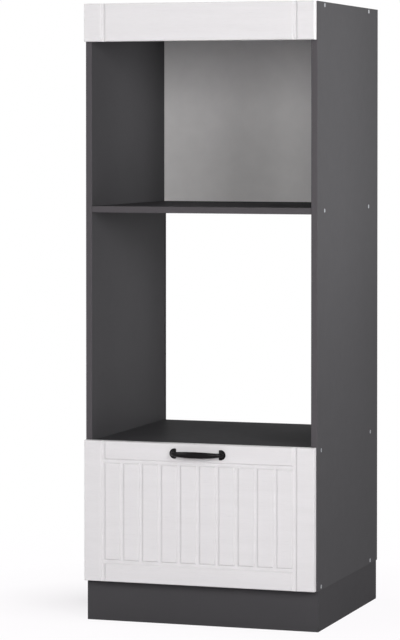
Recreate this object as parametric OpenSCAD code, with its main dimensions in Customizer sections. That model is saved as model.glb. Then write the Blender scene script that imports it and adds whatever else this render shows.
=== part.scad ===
// A tall kitchen cabinet: drawer at the bottom, open oven niche, open microwave niche on top.
// X is across, -Y is the front, +Z is up. The origin is on the floor under the middle
// of the whole cabinet, handle included.

/* [Carcass] */
// Width over both side panels
carcass_w = 600; // [500:1:900]
// Depth of the side panels
carcass_d = 560; // [540:1:700]
// Thickness of the laminated boards
board_t = 16; // [15:0.5:19]
// Clear height of the drawer bay
drawer_bay_h = 318; // [300:1:420]
// Clear height of the oven niche
oven_niche_h = 568; // [400:1:700]
// Clear height of the microwave niche, measured behind the trim
microwave_niche_h = 486; // [300:1:600]

/* [Back panels] */
// Thickness of the hardboard backs
back_t = 3; // [2.5:0.1:4]
// From the rear edge of a side panel to the front face of the backs
back_inset = 14; // [8:1:30]
// How deep the grooves in the side panels are
back_groove = 8; // [5:0.5:10]

/* [Plinth] */
// Height of the plinth
plinth_h = 100; // [70:1:150]
// How far the plinth stands behind the front edges of the carcass
plinth_setback = 11; // [5:1:60]
// From the rear edges of the carcass to the rear ends of the plinth sides
plinth_rear_gap = 10; // [0:1:40]
// From the rear ends of the plinth sides to the rear cross board
plinth_back_inset = 50; // [20:1:120]
// Leg of the steel corner brackets in the plinth
plinth_bracket_leg = 25; // [20:1:40]
// Height of the steel corner brackets in the plinth
plinth_bracket_h = 30; // [20:1:50]
// From the inner faces of the side panels to the screws down into the plinth
plinth_screw_inset = 60; // [40:1:150]

/* [Fronts] */
// Thickness of the milled fronts
front_t = 18; // [16:1:22]
// Air between the fronts and the carcass
front_gap = 2; // [1.5:0.1:4]
// How far a front stays inside the carcass on each side
front_side_margin = 2; // [1:0.5:5]
// How far the drawer front starts above the plinth
front_bottom_margin = 2; // [0:0.5:6]
// How far the drawer front rises over the floor of the oven niche
front_top_rise = 2; // [0:0.5:6]
// Height of the trim across the top
trim_h = 94; // [60:1:140]
// Rounding of the outer edges of the fronts
front_edge_r = 3; // [1:0.5:5]

/* [Milling] */
// Distance of the frame grooves from the edges of a front
frame_groove_inset = 50; // [35:1:90]
// Number of plank grooves between the two upright frame grooves
plank_grooves = 9; // [3:1:13]
// Width of the flat bottom of a groove
groove_bottom_w = 6.4; // [3:0.2:10]
// Depth of a groove
groove_depth = 3.6; // [2:0.2:6]
// Slope of the groove walls, in degrees from the face
groove_slope = 45; // [35:1:70]
// Rounding where a wall meets the face
groove_shoulder_r = 1.2; // [0.5:0.1:2]

/* [Handle] */
// Distance between the two handle screws
handle_pitch = 128; // [96:1:192]
// From the top of the drawer front down to the handle
handle_drop = 25; // [18:1:60]
// How far the handle stands out from the front
handle_reach = 28; // [22:1:40]
// Height of the grip at its middle
grip_mid_h = 16; // [11:0.5:22]
// Thickness of the grip, front to back
grip_t = 8; // [7:0.5:11]
// Height of the grip where it leaves the rosettes
grip_end_h = 9; // [8:0.5:10]
// Radius of the shell rosettes
rosette_r = 12.7; // [11:0.1:16]
// Height of a rosette over the front
rosette_h = 3.4; // [2.5:0.1:5]
// From a handle screw to the middle of the round of its rosette, towards the grip
rosette_shift = 4.2; // [0:0.1:5]
// From a handle screw to the straight inner edge of its rosette
rosette_cut = 8.5; // [7:0.5:10]
// Number of flutes in each shell
shell_flutes = 7; // [3:1:9]

/* [Drawer] */
// Height of the drawer box
box_h = 220; // [150:1:230]
// Air between the bottom panel and the drawer box
box_lift = 14; // [8:1:30]
// Thickness of the hardboard drawer bottom
box_bottom_t = 3; // [2.5:0.1:5]
// Height of the drawer bottom over the lower edge of the box
box_bottom_rise = 10; // [8:1:20]
// Depth of the grooves that hold the drawer bottom
box_groove = 7; // [4:0.5:9]
// From the inner faces of the drawer sides to the screws of the drawer front
front_screw_inset = 70; // [30:1:120]
// From the lower edge of the box to the lower screws of the drawer front
front_screw_low = 55; // [40:1:80]
// From the upper edge of the box to the upper screws of the drawer front
front_screw_high = 45; // [15:1:60]
// Length of the screws of the drawer front
front_screw_l = 28; // [20:1:30]
// From the lower edge of the box to its lower confirmats
box_screw_low = 32; // [25:1:50]
// From the upper edge of the box to its upper confirmats
box_screw_high = 35; // [15:1:50]
// Thickness of the soft pads between front and carcass
bumper_t = 1.7; // [1:0.1:1.8]
// Radius of the pads
bumper_r = 4; // [3:0.5:5]
// From the upper and lower edges of the drawer front to the pads
bumper_rise = 25; // [10:1:60]

/* [Runners] */
// Length of the ball runners
runner_l = 500; // [450:10:500]
// From the front edge of the carcass to the runners
runner_setback = 2; // [1:1:10]
// Height of the runners over the lower edge of the drawer box
runner_rise = 70; // [40:1:110]
// Width taken by a runner between carcass and drawer
runner_w = 12.7; // [12.7:0.1:14]
// Thickness of the rolled steel
runner_steel = 1.2; // [1:0.05:1.3]
// Half of the height of the cabinet profile
runner_half_h = 22.8; // [22.5:0.1:24]
// Radius of the steel balls
ball_r = 2.38; // [2.2:0.01:2.4]
// Balls in each row of a cage
cage_balls = 6; // [3:1:7]
// Distance from ball to ball
ball_pitch = 34; // [20:1:36]
// How much shorter the middle profile is than the others
middle_short = 20; // [10:1:40]
// From the ends of a runner to its outer screws
runner_screw_inset = 40; // [25:1:80]
// Height of the lanced stops that end the travel of the cages
stop_h = 1.2; // [0.8:0.1:2]
// Length of the lanced stops along the runner
stop_l = 4; // [2:0.5:8]

/* [Fasteners] */
// Length of the confirmat screws
confirmat_l = 50; // [40:1:60]
// Radius of a confirmat head
confirmat_head_r = 5; // [4.5:0.1:5.5]
// Radius of a confirmat in the outer board
confirmat_r = 3.5; // [3:0.1:3.5]
// Radius of a confirmat in the board that it pulls up
confirmat_core_r = 2.5; // [2:0.1:2.6]
// Across the flats of the hexagon socket of a confirmat
socket_flats = 4; // [3:0.1:4]
// Depth of the socket of a confirmat
socket_depth = 3; // [2:0.1:4]
// From the front edge to the front confirmats of top and shelf
upper_screw_front = 64; // [30:1:150]
// From the rear edge to the rear confirmats of top and shelf
upper_screw_rear = 88; // [40:1:150]
// From the front edge to the front confirmats of floor and bottom
lower_screw_front = 36; // [30:1:150]
// From the rear edge to the rear confirmats of floor and bottom
lower_screw_rear = 69; // [40:1:150]
// Radius of the wooden dowels
dowel_r = 4; // [3:0.5:4]
// Length of the wooden dowels
dowel_l = 30; // [25:1:40]
// Radius of the small wood screws
wood_screw_r = 1.75; // [1.5:0.05:2]
// Head radius of the small wood screws
wood_head_r = 3.4; // [3:0.1:3.5]
// Length of the small wood screws
wood_screw_l = 14; // [10:1:14]
// Thickness of the steel brackets
bracket_t = 2; // [1.5:0.1:3]
// Leg of the brackets that carry the trim
trim_bracket_leg = 28; // [22:1:40]
// Height of the brackets that carry the trim
trim_bracket_h = 40; // [30:1:50]
// From the top panel down to the brackets that carry the trim
trim_bracket_drop = 12; // [0:1:20]
// Nails across each back panel edge
nail_count = 5; // [3:1:9]
// From the inner faces of the side panels to the outer nails
nail_margin = 40; // [20:1:80]
// Length of the nails
nail_l = 20; // [15:1:25]
// Radius of the machine screws in the handle
handle_screw_r = 2; // [1.5:0.1:2.2]

/* [Hidden] */

$fn = 48;
// Radial clearance of a screw, nail or dowel in its hole
fit = 0.05;
// How far a cutting shape runs past the face that it opens
past = 1;

// Small forms of the fasteners
head_rim = 0.8;
thread_step = 0.5;
wood_head_rim = 0.2;
cross_l = 4;
cross_w = 0.7;
cross_depth = 1.2;
nail_r = 0.8;
nail_head_r = 2;
nail_head_h = 0.6;
nail_head_taper = 0.3;
dowel_chamfer = 1;
pan_head_r = 4;
pan_head_taper = 1;
pan_head_h = 2.4;
pan_slot_w = 1;

// Colours
graphite = [0.35, 0.35, 0.36];
film_white = [0.91, 0.91, 0.92];
back_grey = [0.70, 0.70, 0.69];
steel = [0.78, 0.79, 0.80];
cast_black = [0.10, 0.10, 0.10];
beech = [0.85, 0.70, 0.50];
pad_clear = [0.85, 0.87, 0.88];

// Depth: carcass_y is the plane of the front edges, face_y that of the fronts
carcass_y = (front_gap + front_t + handle_reach - carcass_d) / 2;
front_back_y = carcass_y - front_gap;
face_y = front_back_y - front_t;
rear_y = carcass_y + carcass_d;
back_y = rear_y - back_inset;
inner_d = carcass_d - back_inset;
// Air beside a back in its grooves, and how far it stays inside the boards that it is nailed to
back_side_air = 1;
back_end_air = 2;

// Width
half_w = carcass_w / 2;
inner_w = carcass_w - 2 * board_t;
inner_half = inner_w / 2;
front_w = carcass_w - 2 * front_side_margin;

// Height
bottom_z = plinth_h;
bay_z = bottom_z + board_t;
floor_z = bay_z + drawer_bay_h;
oven_z = floor_z + board_t;
shelf_z = oven_z + oven_niche_h;
microwave_z = shelf_z + board_t;
top_z = microwave_z + microwave_niche_h;
cabinet_h = top_z + board_t;
side_h = cabinet_h - plinth_h;

// The horizontal boards: lower face, then the front and rear confirmat lines
bottom_row = [bottom_z, lower_screw_front, carcass_d - lower_screw_rear];
floor_row = [floor_z, lower_screw_front, carcass_d - lower_screw_rear];
shelf_row = [shelf_z, upper_screw_front, carcass_d - upper_screw_rear];
top_row = [top_z, upper_screw_front, carcass_d - upper_screw_rear];
board_rows = [bottom_row, floor_row, shelf_row, top_row];

// Fronts
front_z = plinth_h + front_bottom_margin;
front_top_z = oven_z + front_top_rise;
front_h = front_top_z - front_z;
trim_z = cabinet_h - trim_h;
frame_groove_x = front_w / 2 - frame_groove_inset;
plank_pitch = 2 * frame_groove_x / (plank_grooves + 1);

// Drawer box
box_z = bay_z + box_lift;
box_half = inner_half - runner_w;
box_inner_half = box_half - board_t;
box_d = front_gap + runner_setback + runner_l;
box_bottom_z = box_z + box_bottom_rise;
box_back_z = box_bottom_z + box_bottom_t;
box_end_y = front_back_y + box_d;
// Air beside the bottom in its grooves, and between its nails and the confirmats of the box
bottom_air = 0.5;
bottom_nail_clear = 15;
runner_z = box_z + runner_rise;
runner_y = carcass_y + runner_setback;
runner_mid_y = runner_y + runner_l / 2;

// Runner profiles, drawn with x as the distance from the side panel and y as the height
ball_gap = 0.06;
outer_ball_air = 0.76;
inner_ball_air = 0.46;
spare_hole_r = 2.3;
stop_half_w = 6;
race_in = ball_r + ball_gap;
race_out = race_in + runner_steel;
outer_ball_x = runner_steel + race_in + outer_ball_air;
outer_ball_z = runner_half_h - race_out;
inner_ball_x = runner_w - runner_steel - race_in - inner_ball_air;
ball_centres = 2 * race_in + runner_steel;
inner_ball_z = outer_ball_z - sqrt(pow(ball_centres, 2) - pow(inner_ball_x - outer_ball_x, 2));
lip_up = 0.5;
lip_down = 1.4;
cage_t = 0.6;
cage_drop = 0.66;
cage_gap = 0.3;
cage_lip = 0.6;
pocket_air = 0.1;
// Air between a rolled lip and the cage beside it, and between the inner cage and the inner races
outer_lip_air = 0.5;
inner_lip_air = 0.4;
inner_cage_air = 0.04;

// Fastener lines
runner_screw_ys = [
    runner_y + runner_screw_inset, runner_mid_y, runner_y + runner_l - runner_screw_inset
];
// Spare holes of the runners, three on each side of the screw in the middle
runner_spare_pitch = (runner_l / 2 - runner_screw_inset) / 4;
runner_spare_ys = [for (k = [-3, -2, -1, 1, 2, 3]) runner_mid_y + k * runner_spare_pitch];
plinth_screw_x = inner_half - plinth_screw_inset;
plinth_front_y = carcass_y + plinth_setback;
plinth_end_y = rear_y - plinth_rear_gap;
plinth_back_y = plinth_end_y - plinth_back_inset - board_t;
front_screw_x = box_inner_half - front_screw_inset;
front_screw_zs = [box_z + front_screw_low, box_z + box_h - front_screw_high];
box_screw_zs = [box_z + box_screw_low, box_z + box_h - box_screw_high];
handle_z = front_top_z - handle_drop;
handle_screw_depth = 7;
trim_bracket_z = top_z - trim_bracket_h - trim_bracket_drop;
// The holes of an angle sit a little outside the middle of its legs
angle_hole_shift = 2;
bumper_x = half_w - board_t / 2;

// ---------- small helpers ----------

// Puts children on the right (1) or, mirrored, on the left (-1)
module on_side(side) {
    mirror([side < 0 ? 1 : 0, 0, 0]) children();
}

// A stepped screw for boards, drawn downwards from its head at z = 0; grow makes its hole
module confirmat(grow = 0) {
    lead = grow > 0 ? past : 0;
    taper = confirmat_head_r - confirmat_r;
    difference() {
        rotate_extrude()
            polygon([
                [0, lead], [confirmat_head_r + grow, lead], [confirmat_head_r + grow, -head_rim],
                [confirmat_r + grow, -head_rim - taper], [confirmat_r + grow, thread_step - board_t],
                [confirmat_core_r + grow, -board_t], [confirmat_core_r + grow, -confirmat_l - grow],
                [0, -confirmat_l - grow]
            ]);
        if (grow == 0)
            translate([0, 0, -socket_depth])
                cylinder(r = socket_flats / sqrt(3), h = socket_depth + past, $fn = 6);
    }
}

// A countersunk wood screw, drawn downwards from its head at z = 0; grow makes its hole
module wood_screw(length, grow = 0) {
    lead = grow > 0 ? past : 0;
    taper = wood_head_r - wood_screw_r;
    difference() {
        rotate_extrude()
            polygon([
                [0, lead], [wood_head_r + grow, lead], [wood_head_r + grow, -wood_head_rim],
                [wood_screw_r + grow, -wood_head_rim - taper], [wood_screw_r + grow, -length - grow],
                [0, -length - grow]
            ]);
        if (grow == 0)
            for (turn = [0, 90])
                rotate([0, 0, turn]) translate([-cross_l / 2, -cross_w / 2, -cross_depth])
                    cube([cross_l, cross_w, cross_depth + past]);
    }
}

// A nail with a flat head on top of z = 0
module nail(grow = 0) {
    translate([0, 0, -nail_l - grow]) cylinder(r = nail_r + grow, h = nail_l + grow + nail_head_h / 2);
    if (grow == 0) cylinder(r1 = nail_head_r, r2 = nail_head_r - nail_head_taper, h = nail_head_h);
}

// A wooden dowel with chamfered ends, lying along x and centred; grow makes its hole
module dowel(grow = 0) {
    half = dowel_l / 2 + grow;
    r = dowel_r + grow;
    rotate([0, 90, 0])
        rotate_extrude()
            polygon([
                [0, -half], [r - dowel_chamfer, -half], [r, dowel_chamfer - half],
                [r, half - dowel_chamfer], [r - dowel_chamfer, half], [0, half]
            ]);
}

// Turns children that are drawn along -z so that they point along an axis
module point_inward(side) { rotate([0, 90 * side, 0]) children(); }
module point_front() { rotate([-90, 0, 0]) children(); }

// ---------- fasteners of the carcass ----------

// The confirmats of one board on one side
module row_confirmats(row, side, grow = 0) {
    for (d = [row[1], row[2]])
        translate([side * half_w, carcass_y + d, row[0] + board_t / 2])
            point_inward(side) confirmat(grow);
}

// One dowel between the two confirmats, a third of it in the side panel
module row_dowel(row, side, grow = 0) {
    translate([
        side * (inner_half - dowel_l / 6),
        carcass_y + (row[1] + row[2]) / 2,
        row[0] + board_t / 2
    ]) dowel(grow);
}

// Nails through a back panel into the rear edge of one board
module row_nails(row, grow = 0) {
    span = inner_w - 2 * nail_margin;
    for (i = [0 : nail_count - 1])
        translate([-span / 2 + i * span / (nail_count - 1), back_y + back_t, row[0] + board_t / 2])
            point_front() nail(grow);
}

module carcass_confirmats(side) {
    color(steel)
        for (row = board_rows) row_confirmats(row, side);
}

module carcass_dowels(side) {
    color(beech)
        for (row = board_rows) row_dowel(row, side);
}

module carcass_confirmats_left() { carcass_confirmats(-1); }
module carcass_confirmats_right() { carcass_confirmats(1); }
module carcass_dowels_left() { carcass_dowels(-1); }
module carcass_dowels_right() { carcass_dowels(1); }

module upper_back_nails() {
    color(steel) {
        row_nails(shelf_row);
        row_nails(top_row);
    }
}

module lower_back_nails() {
    color(steel) {
        row_nails(bottom_row);
        row_nails(floor_row);
    }
}

// ---------- boards of the carcass ----------

// One side panel, drilled, with the groove for the backs along its inner face
module side_panel(side) {
    color(graphite)
        difference() {
            on_side(side)
                difference() {
                    translate([inner_half, carcass_y, bottom_z]) cube([board_t, carcass_d, side_h]);
                    translate([inner_half - past, back_y - fit, bottom_z - past])
                        cube([back_groove + past, back_t + 2 * fit, side_h + 2 * past]);
                }
            for (row = board_rows) {
                row_confirmats(row, side, fit);
                row_dowel(row, side, fit);
            }
            runner_outer_screws(side, fit);
            trim_bracket_side_screws(side, fit);
        }
}

module left_side_panel() { side_panel(-1); }
module right_side_panel() { side_panel(1); }

// A horizontal board between the side panels
module cross_board(row) {
    color(graphite)
        difference() {
            translate([-inner_half, carcass_y, row[0]]) cube([inner_w, inner_d, board_t]);
            for (side = [-1, 1]) {
                row_confirmats(row, side, fit);
                row_dowel(row, side, fit);
            }
            row_nails(row, fit);
            children();
        }
}

module top_panel() { cross_board(top_row); }
module microwave_shelf() { cross_board(shelf_row); }
module oven_floor_panel() { cross_board(floor_row); }
module bottom_panel() { cross_board(bottom_row) plinth_screws(fit); }

// A hardboard back that sits in the grooves and is nailed to two boards
module back_panel(low_row, high_row) {
    half = inner_half + back_groove - back_side_air;
    color(back_grey)
        difference() {
            translate([-half, back_y, low_row[0] + back_end_air])
                cube([2 * half, back_t, high_row[0] + board_t - low_row[0] - 2 * back_end_air]);
            row_nails(low_row, fit);
            row_nails(high_row, fit);
        }
}

module upper_back_panel() { back_panel(shelf_row, top_row); }
module lower_back_panel() { back_panel(bottom_row, floor_row); }

// ---------- plinth ----------

// Confirmats through the bottom panel into the two cross boards of the plinth
module plinth_screws(grow = 0) {
    for (side = [-1, 1], y = [plinth_front_y, plinth_back_y])
        translate([side * plinth_screw_x, y + board_t / 2, bay_z]) confirmat(grow);
}

module plinth_confirmats() { color(steel) plinth_screws(); }

// One angle with a hole in each leg, its outer corner at the origin, legs along +x and +y
module angle(leg, height) {
    difference() {
        cube([leg, leg, height]);
        translate([bracket_t, bracket_t, -past]) cube([leg, leg, height + 2 * past]);
        angle_screws(leg, height, fit);
    }
}

// The two screws of an angle, one through each leg
module angle_screws(leg, height, grow = 0) {
    hole = (leg + bracket_t) / 2 + angle_hole_shift;
    translate([hole, bracket_t, height / 2]) rotate([-90, 0, 0]) wood_screw(wood_screw_l, grow);
    translate([bracket_t, hole, height / 2]) rotate([0, 90, 0]) wood_screw(wood_screw_l, grow);
}

// Places children in the four inner corners of the plinth, legs pointing inwards
module plinth_corners() {
    for (side = [-1, 1]) {
        translate([side * inner_half, plinth_front_y + board_t, plinth_h / 2])
            mirror([side > 0 ? 1 : 0, 0, 0]) children();
        translate([side * inner_half, plinth_back_y, plinth_h / 2])
            mirror([side > 0 ? 1 : 0, 0, 0]) mirror([0, 1, 0]) children();
    }
}

module plinth_brackets() {
    color(steel)
        plinth_corners() translate([0, 0, -plinth_bracket_h / 2])
            angle(plinth_bracket_leg, plinth_bracket_h);
}

module plinth_corner_screws(grow = 0) {
    plinth_corners() translate([0, 0, -plinth_bracket_h / 2])
        angle_screws(plinth_bracket_leg, plinth_bracket_h, grow);
}

module plinth_bracket_screws() { color(steel) plinth_corner_screws(); }

// The front board covers the ends of the two side boards
module plinth_front() {
    color(graphite)
        difference() {
            translate([-half_w, plinth_front_y, 0]) cube([carcass_w, board_t, plinth_h]);
            plinth_screws(fit);
            plinth_corner_screws(fit);
        }
}

module plinth_back() {
    color(graphite)
        difference() {
            translate([-inner_half, plinth_back_y, 0]) cube([inner_w, board_t, plinth_h]);
            plinth_screws(fit);
            plinth_corner_screws(fit);
        }
}

module plinth_side(side) {
    start = plinth_front_y + board_t;
    color(graphite)
        difference() {
            on_side(side)
                translate([inner_half, start, 0]) cube([board_t, plinth_end_y - start, plinth_h]);
            plinth_corner_screws(fit);
        }
}

module plinth_left() { plinth_side(-1); }
module plinth_right() { plinth_side(1); }

// ---------- milled fronts ----------

// Half outline of the groove cutter: x across the groove, y into the board
groove_half_w = groove_bottom_w / 2 + groove_depth / tan(groove_slope);
shoulder_x = groove_half_w + groove_shoulder_r * tan(groove_slope / 2);
shoulder_steps = 4;
groove_side = concat(
    [[groove_bottom_w / 2, groove_depth]],
    [for (i = [shoulder_steps : -1 : 0]) let (a = groove_slope * i / shoulder_steps)
        [shoulder_x - groove_shoulder_r * sin(a), groove_shoulder_r * (1 - cos(a))]],
    [[shoulder_x, -past]]
);
groove_outline = concat(groove_side, [for (i = [len(groove_side) - 1 : -1 : 0])
    [-groove_side[i][0], groove_side[i][1]]]);

// An upright groove from z0 to z1
module groove_up(x, z0, z1) {
    translate([x, face_y, z0]) linear_extrude(z1 - z0) polygon(groove_outline);
}

// A level groove from x0 to x1
module groove_across(z, x0, x1) {
    translate([x0, face_y, z]) rotate([90, 0, 90])
        linear_extrude(x1 - x0) polygon([for (p = groove_outline) [p[1], p[0]]]);
}

// The section of a front with its two outer edges rounded
module front_section(length) {
    r = front_edge_r;
    translate([-length / 2, r]) square([length, front_t - r]);
    translate([r - length / 2, 0]) square([length - 2 * r, front_t]);
    for (s = [-1, 1]) translate([s * (length / 2 - r), r]) circle(r);
}

// A front board between two heights, rounded along all four outer edges
module front_blank(z0, height) {
    intersection() {
        translate([0, face_y, z0]) linear_extrude(height) front_section(front_w);
        translate([-front_w / 2, face_y, z0 + height / 2]) rotate([90, 0, 90])
            linear_extrude(front_w) mirror([-1, 1]) front_section(height);
    }
}

// The two upright frame grooves that both fronts have
module frame_grooves(z0, height) {
    for (s = [-1, 1]) groove_up(s * frame_groove_x, z0 - past, z0 + height + past);
}

module drawer_front() {
    low = front_z + frame_groove_inset;
    high = front_top_z - frame_groove_inset;
    color(film_white)
        difference() {
            front_blank(front_z, front_h);
            frame_grooves(front_z, front_h);
            for (z = [low, high]) groove_across(z, -frame_groove_x, frame_groove_x);
            for (i = [1 : plank_grooves])
                groove_up(-frame_groove_x + i * plank_pitch, low, high);
            handle_screw_set(fit);
            front_screw_set(fit);
        }
}

module top_trim() {
    color(film_white)
        difference() {
            front_blank(trim_z, trim_h);
            frame_grooves(trim_z, trim_h);
            trim_angle_screws(fit);
        }
}

// The trim hangs on two angles, screwed to the side panels and to its back
module trim_angles() {
    for (side = [-1, 1])
        translate([side * inner_half, front_back_y, trim_bracket_z])
            mirror([side > 0 ? 1 : 0, 0, 0]) children();
}

module trim_angle_screws(grow = 0) {
    trim_angles() angle_screws(trim_bracket_leg, trim_bracket_h, grow);
}

// Only the screws on one side, for the hole in that side panel
module trim_bracket_side_screws(side, grow = 0) {
    intersection() {
        trim_angle_screws(grow);
        on_side(side) translate([0, face_y, 0]) cube([half_w, carcass_d, cabinet_h]);
    }
}

module trim_brackets() { color(steel) trim_angles() angle(trim_bracket_leg, trim_bracket_h); }
module trim_bracket_screws() { color(steel) trim_angle_screws(); }

// ---------- ball runners ----------

// A copy of children above and below the middle of the runner
module both_edges() {
    children();
    mirror([0, 1]) children();
}

module race_disc(x, z, r) { translate([x, z]) circle(r); }

// Cabinet profile: a web on the side panel, and a rolled race over each row of balls
module outer_profile() {
    translate([0, -outer_ball_z - lip_up]) square([runner_steel, 2 * (outer_ball_z + lip_up)]);
    both_edges()
        difference() {
            intersection() {
                union() {
                    race_disc(outer_ball_x, outer_ball_z, race_out);
                    translate([0, outer_ball_z]) square([outer_ball_x, race_out]);
                }
                translate([0, outer_ball_z + lip_up]) square([runner_w, race_out]);
            }
            race_disc(outer_ball_x, outer_ball_z, race_in);
        }
}

// Middle profile: its rolled edges are the lower race of the outer balls and the upper of the inner
module middle_profile() {
    web_x = inner_ball_x - race_out;
    lip_x = runner_steel + cage_gap + cage_t + outer_lip_air;
    difference() {
        union() {
            translate([web_x, -inner_ball_z - lip_up])
                square([runner_steel, 2 * (inner_ball_z + lip_up)]);
            both_edges() {
                intersection() {
                    race_disc(outer_ball_x, outer_ball_z, race_out);
                    translate([lip_x, outer_ball_z - lip_down - race_out]) square([runner_w, race_out]);
                }
                intersection() {
                    race_disc(inner_ball_x, inner_ball_z, race_out);
                    translate([web_x, inner_ball_z + lip_up]) square([runner_w, race_out]);
                }
            }
        }
        both_edges() {
            race_disc(outer_ball_x, outer_ball_z, race_in);
            race_disc(inner_ball_x, inner_ball_z, race_in);
        }
    }
}

// Drawer profile: a web on the drawer side, and a race under each row of inner balls
module inner_profile() {
    edge = inner_ball_z - lip_down;
    lip_x = inner_ball_x - race_in + cage_gap + cage_t + inner_lip_air;
    translate([runner_w - runner_steel, -edge]) square([runner_steel, 2 * edge]);
    both_edges()
        difference() {
            intersection() {
                race_disc(inner_ball_x, inner_ball_z, race_out);
                translate([lip_x, edge - race_out]) square([runner_w - lip_x, race_out]);
            }
            race_disc(inner_ball_x, inner_ball_z, race_in);
        }
}

// A length of profile on one side, starting at y
module runner_bar(side, y, length) {
    on_side(side)
        translate([inner_half, y + length, runner_z]) rotate([90, 0, 0])
            linear_extrude(length) mirror([1, 0]) children();
}

// Screws from the cabinet profile into the side panel, heads flush with the steel
module runner_outer_screws(side, grow = 0) {
    for (y = runner_screw_ys)
        translate([side * (inner_half - runner_steel), y, runner_z])
            rotate([0, -90 * side, 0]) wood_screw(wood_screw_l, grow);
}

// Screws from the drawer profile into the drawer side, heads flush with the steel
module runner_inner_screws(side, grow = 0) {
    for (y = runner_screw_ys)
        translate([side * (box_half + runner_steel), y, runner_z])
            rotate([0, 90 * side, 0]) wood_screw(wood_screw_l, grow);
}

// The spare holes through the web of a profile, x measured from the side panel
module spare_holes(side, x) {
    for (y = runner_spare_ys)
        translate([side * (inner_half - x), y, runner_z]) rotate([0, 90, 0])
            cylinder(r = spare_hole_r, h = runner_steel + 2 * past, center = true);
}

// A lanced stop at each end of a web whose face is at x
module stops(side, x, y, length) {
    for (end = [y, y + length - stop_l])
        runner_bar(side, end, stop_l)
            translate([x - runner_steel / 2, -stop_half_w])
                square([runner_steel / 2 + stop_h, 2 * stop_half_w]);
}

module runner_outer(side) {
    color(steel)
        difference() {
            union() {
                runner_bar(side, runner_y, runner_l) outer_profile();
                stops(side, runner_steel, runner_y, runner_l);
            }
            runner_outer_screws(side, fit);
            spare_holes(side, runner_steel / 2);
        }
}

module runner_middle(side) {
    start = runner_y + middle_short / 2;
    length = runner_l - middle_short;
    color(steel) {
        runner_bar(side, start, length) middle_profile();
        stops(side, inner_ball_x - race_out + runner_steel, start, length);
    }
}

module runner_inner(side) {
    color(steel)
        difference() {
            runner_bar(side, runner_y, runner_l) inner_profile();
            runner_inner_screws(side, fit);
            spare_holes(side, runner_w - runner_steel / 2);
        }
}

// Balls of a runner in two rows; x is measured from the side panel
module ball_rows(side, x, z, r) {
    for (row = [-1, 1], i = [0 : cage_balls - 1])
        translate([
            side * (inner_half - x),
            runner_mid_y + (i - (cage_balls - 1) / 2) * ball_pitch,
            runner_z + row * z
        ]) sphere(r);
}

// A pressed cage: a web with a flange for each row, and a pocket for each ball
module ball_cage(side, web_x, x, z) {
    length = cage_balls * ball_pitch;
    top = z - cage_drop + cage_t;
    reach = x + ball_r + cage_lip - web_x;
    color(back_grey)
        difference() {
            runner_bar(side, runner_mid_y - length / 2, length) {
                translate([web_x, -top]) square([cage_t, 2 * top]);
                for (low = [-top, top - cage_t]) translate([web_x, low]) square([reach, cage_t]);
            }
            ball_rows(side, x, z, ball_r + pocket_air);
        }
}

module outer_cage(side) {
    ball_cage(side, runner_steel + cage_gap, outer_ball_x, outer_ball_z);
}

module inner_cage(side) {
    ball_cage(side, inner_ball_x - race_in + cage_gap + inner_cage_air, inner_ball_x, inner_ball_z);
}

module outer_balls(side) { color(steel) ball_rows(side, outer_ball_x, outer_ball_z, ball_r); }
module inner_balls(side) { color(steel) ball_rows(side, inner_ball_x, inner_ball_z, ball_r); }

module runner_outer_left() { runner_outer(-1); }
module runner_outer_right() { runner_outer(1); }
module runner_outer_screws_left() { color(steel) runner_outer_screws(-1); }
module runner_outer_screws_right() { color(steel) runner_outer_screws(1); }
module outer_cage_left() { outer_cage(-1); }
module outer_cage_right() { outer_cage(1); }
module outer_balls_left() { outer_balls(-1); }
module outer_balls_right() { outer_balls(1); }
module runner_middle_left() { runner_middle(-1); }
module runner_middle_right() { runner_middle(1); }
module inner_cage_left() { inner_cage(-1); }
module inner_cage_right() { inner_cage(1); }
module inner_balls_left() { inner_balls(-1); }
module inner_balls_right() { inner_balls(1); }
module runner_inner_left() { runner_inner(-1); }
module runner_inner_right() { runner_inner(1); }
module runner_inner_screws_left() { color(steel) runner_inner_screws(-1); }
module runner_inner_screws_right() { color(steel) runner_inner_screws(1); }

// ---------- drawer ----------

// Confirmats through the drawer sides into the front and back boards of the box
module box_screws(grow = 0) {
    for (side = [-1, 1], y = [front_back_y + board_t / 2, box_end_y - board_t / 2], z = box_screw_zs)
        translate([side * box_half, y, z]) point_inward(side) confirmat(grow);
}

// Screws through the front board of the box into the drawer front
module front_screw_set(grow = 0) {
    for (side = [-1, 1], z = front_screw_zs)
        translate([side * front_screw_x, front_back_y + board_t, z])
            rotate([-90, 0, 0]) wood_screw(front_screw_l, grow);
}

// Nails up through the drawer bottom into the back board
module bottom_nail_set(grow = 0) {
    span = 2 * (box_half - confirmat_l - bottom_nail_clear);
    for (i = [0 : nail_count - 1])
        translate([
            -span / 2 + i * span / (nail_count - 1), box_end_y - board_t / 2, box_bottom_z
        ]) rotate([180, 0, 0]) nail(grow);
}

// The slot for the hardboard bottom, open at the back of the box
module bottom_slot() {
    half = box_inner_half + box_groove + fit;
    translate([-half, front_back_y + board_t - box_groove - fit, box_bottom_z - fit])
        cube([2 * half, box_d, box_bottom_t + 2 * fit]);
}

module drawer_side(side) {
    color(graphite)
        difference() {
            on_side(side)
                translate([box_inner_half, front_back_y, box_z]) cube([board_t, box_d, box_h]);
            bottom_slot();
            box_screws(fit);
            runner_inner_screws(side, fit);
        }
}

module drawer_side_left() { drawer_side(-1); }
module drawer_side_right() { drawer_side(1); }

module drawer_box_front() {
    color(graphite)
        difference() {
            translate([-box_inner_half, front_back_y, box_z])
                cube([2 * box_inner_half, board_t, box_h]);
            bottom_slot();
            box_screws(fit);
            front_screw_set(fit);
        }
}

// The back board stands on the drawer bottom
module drawer_box_back() {
    color(graphite)
        difference() {
            translate([-box_inner_half, box_end_y - board_t, box_back_z])
                cube([2 * box_inner_half, board_t, box_z + box_h - box_back_z]);
            box_screws(fit);
            bottom_nail_set(fit);
        }
}

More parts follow.
